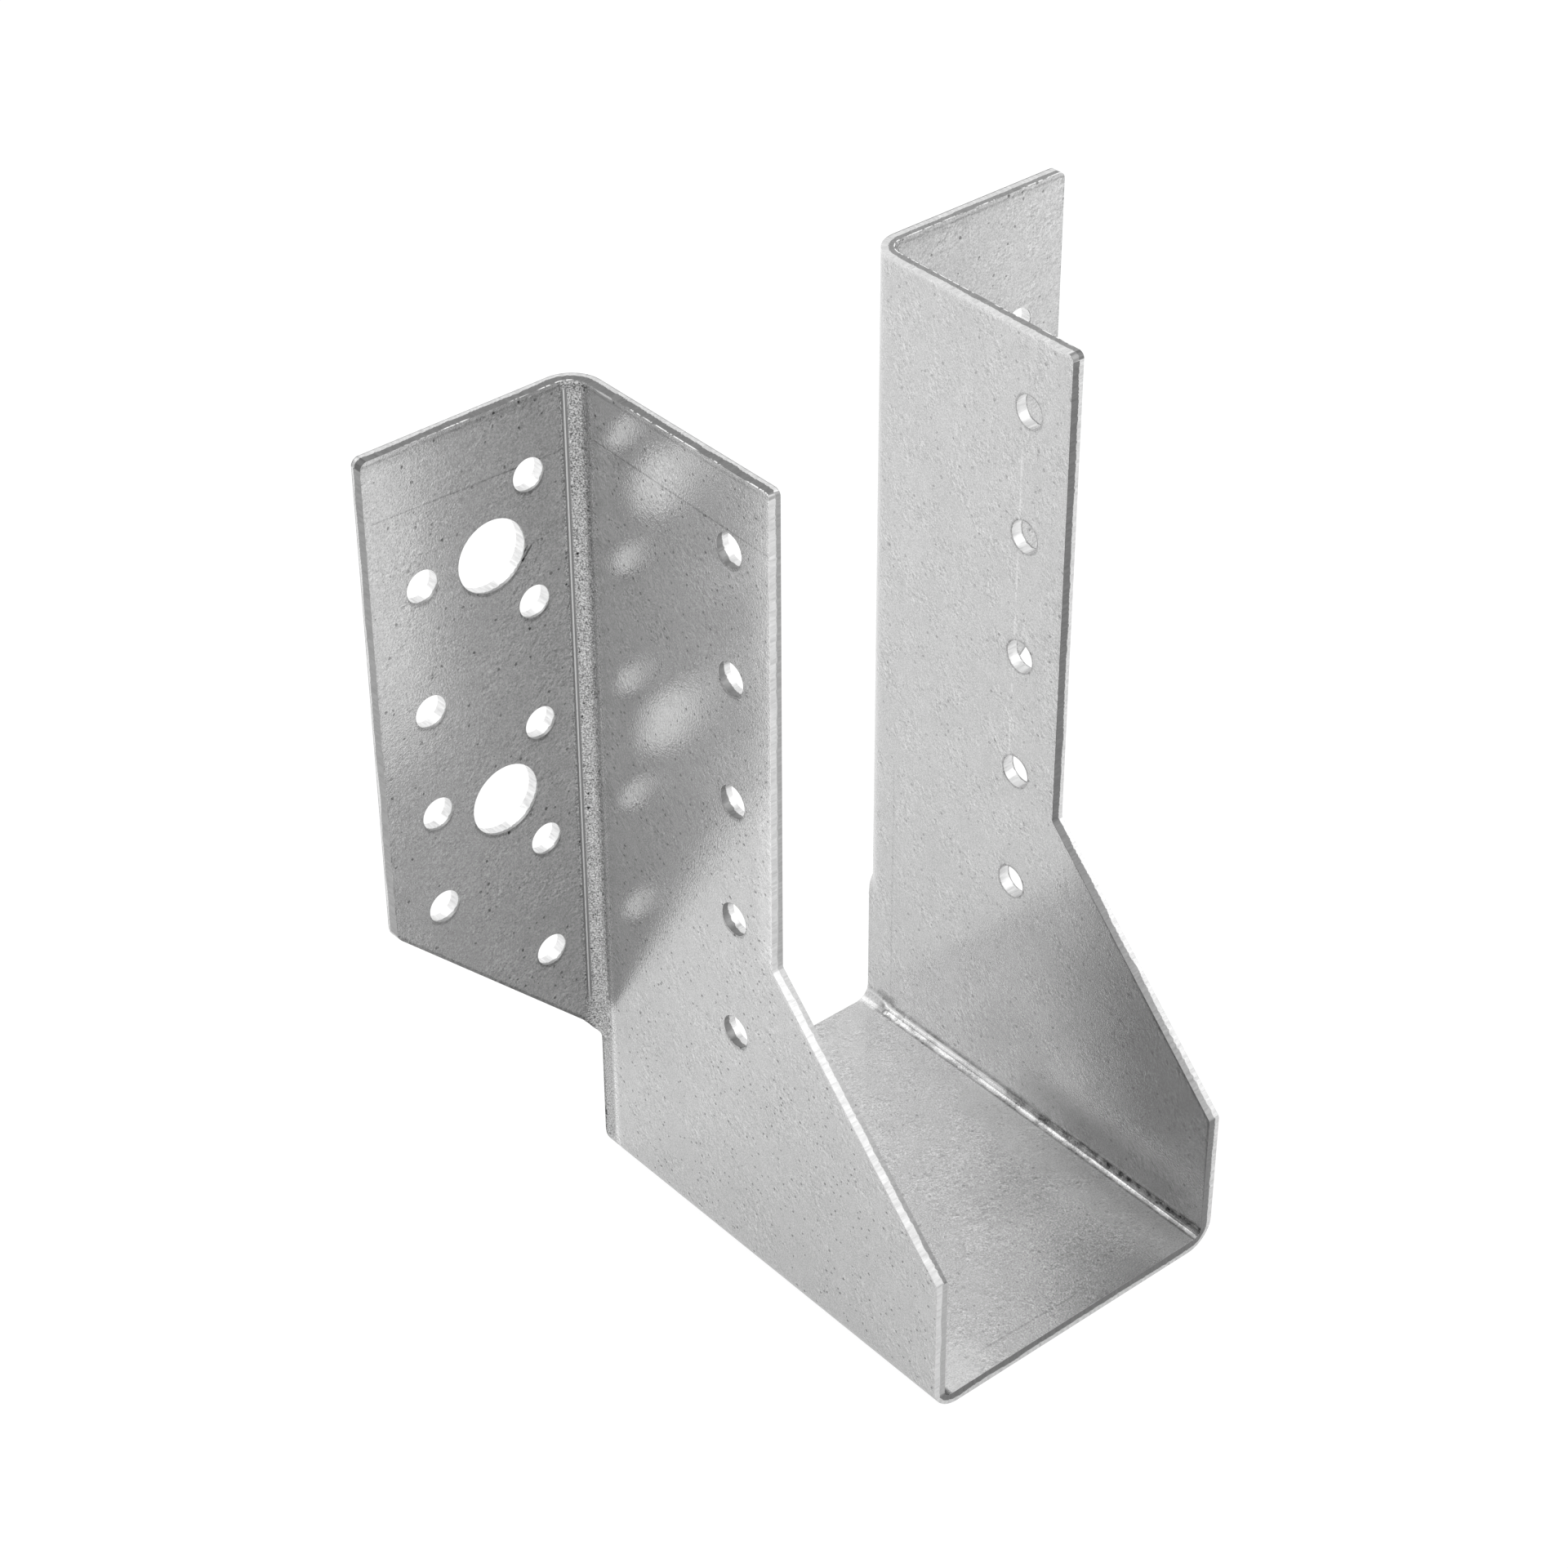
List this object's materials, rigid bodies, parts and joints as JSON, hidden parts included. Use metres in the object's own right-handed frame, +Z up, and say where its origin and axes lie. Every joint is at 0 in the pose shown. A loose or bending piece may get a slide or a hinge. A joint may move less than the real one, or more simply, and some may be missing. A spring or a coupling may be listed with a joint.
{
  "type": "joist hanger",
  "caption": "Folded steel hanger that carries a timber joist's end on a seat between two nailed plates, with flanges that fix to the face of a beam.",
  "frame": {"origin": "centre of the bounding box's base, on the seat's underside", "axes": "+Z up along the plates, +Y towards the beam that the flanges fix to, +X across the joist; the joist leaves towards -Y"},
  "size_m": [0.124, 0.076, 0.135],
  "materials": {
    "galvanised_steel": "hot-dip galvanised sheet, dull grey zinc with a fine mottle and sheared edges"
  },
  "bodies": {
    "root": {"joist_hanger": "galvanised_steel"}
  },
  "joints": []
}
